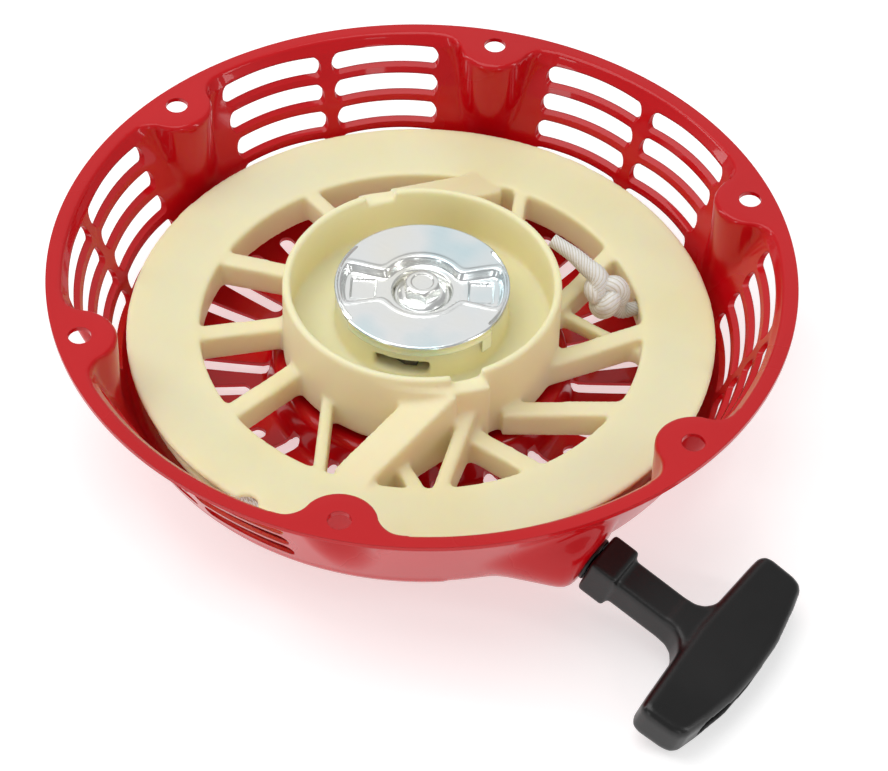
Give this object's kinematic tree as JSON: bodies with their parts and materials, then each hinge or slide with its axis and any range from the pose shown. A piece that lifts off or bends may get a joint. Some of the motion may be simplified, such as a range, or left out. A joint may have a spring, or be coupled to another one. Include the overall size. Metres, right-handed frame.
{
  "type": "recoil starter",
  "caption": "Recoil starter for a small engine: a red pressed-steel bowl with a rope reel, starter ratchets, a guide plate and a T-shaped pull handle on a rope.",
  "frame": {"origin": "centre of the bolt circle, on the mounting face of the rim that meets the engine's fan housing", "axes": "+Z points out of the bowl to the engine, along the crankshaft; +X is the horizontal direction in which the rope leaves; +Y completes the right-handed set"},
  "size_m": [0.3055, 0.265, 0.0646],
  "materials": {
    "red_paint": "gloss",
    "black_nylon": "satin",
    "zinc": "satin zinc plating",
    "cream_nylon": "satin",
    "spring_steel": "oiled",
    "dark_steel": "blackened",
    "rope": "twisted strands",
    "black_grip": "satin"
  },
  "bodies": {
    "case": {"case": "red_paint", "rope_guide": "black_nylon", "centre_post": "zinc", "post_washer": "zinc", "guide_plate": "zinc", "centre_screw": "zinc", "friction_spring": "spring_steel", "rope_run": "rope"},
    "reel": {"reel": "cream_nylon", "recoil_spring": "spring_steel", "rope_wound": "rope", "reel_knot": "rope", "ratchet_spring_a": "spring_steel", "ratchet_spring_b": "spring_steel"},
    "ratchet_a": {"ratchet_a": "dark_steel"},
    "ratchet_b": {"ratchet_b": "dark_steel"},
    "handle": {"handle": "black_grip", "handle_washer": "zinc", "handle_knot": "rope", "rope_pull": "rope"}
  },
  "joints": [
    {"name": "reel_turn", "type": "hinge", "parent": "case", "child": "reel", "pos_m": [0, 0, 0], "axis": [0, 0, 1], "range_deg": [0, 990], "stiffness_Nm_per_rad": 0.05, "springref_deg": -458.37, "deforming": ["recoil_spring"]},
    {"name": "handle_pull", "type": "slide", "parent": "case", "child": "handle", "axis": [0.9548, 0, -0.2974], "range_m": [0, 1.6]},
    {"name": "ratchet_a_swing", "type": "hinge", "parent": "reel", "child": "ratchet_a", "pos_m": [-0.00718, -0.01973, -0.0206], "axis": [0, 0, -1], "range_deg": [0, 20], "stiffness_Nm_per_rad": 0.002, "deforming": ["ratchet_spring_a"]},
    {"name": "ratchet_b_swing", "type": "hinge", "parent": "reel", "child": "ratchet_b", "pos_m": [0.00718, 0.01973, -0.0206], "axis": [0, 0, -1], "range_deg": [0, 20], "deforming": ["ratchet_spring_b"]}
  ],
  "couplings": [
    {"joint": "handle_pull", "follows": "reel_turn", "m_per_rad": 0.0925},
    {"joint": "ratchet_b_swing", "follows": "ratchet_a_swing", "ratio": 1}
  ]
}
